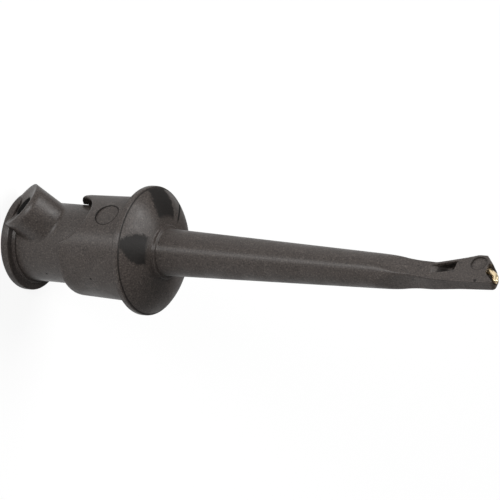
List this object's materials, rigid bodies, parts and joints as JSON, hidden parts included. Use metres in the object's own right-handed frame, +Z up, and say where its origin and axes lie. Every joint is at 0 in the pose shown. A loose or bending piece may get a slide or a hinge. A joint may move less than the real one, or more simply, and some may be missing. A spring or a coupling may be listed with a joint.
{
  "type": "mini grabber test clip",
  "caption": "Slim insulated test clip: a sprung thumb plunger pushes a small gold-plated hook out of a long thin tip to grip a wire.",
  "frame": {"origin": "middle of the thumb cap's flat face, on which the clip stands", "axes": "+Z up from the thumb cap to the hook tip, -X towards the side of the wire boss, +Y the way the beak of the tip points"},
  "size_m": [0.0143, 0.0138, 0.057],
  "materials": {
    "black_nylon": "moulded black nylon, soft sheen",
    "gold_plate": "gold-plated copper alloy wire",
    "brass": "turned brass",
    "spring_steel": "drawn spring wire"
  },
  "bodies": {
    "barrel": {"barrel": "black_nylon", "return_spring": "spring_steel"},
    "plunger": {"plunger": "black_nylon", "thumb_cap": "black_nylon", "hook_contact": "gold_plate", "solder_terminal": "brass"}
  },
  "joints": [
    {"name": "plunger_slide", "type": "slide", "parent": "barrel", "child": "plunger", "axis": [0, 0, 1], "range_m": [0, 0.0034], "stiffness_N_per_m": 600, "springref_m": -0.001, "deforming": ["return_spring"]}
  ]
}
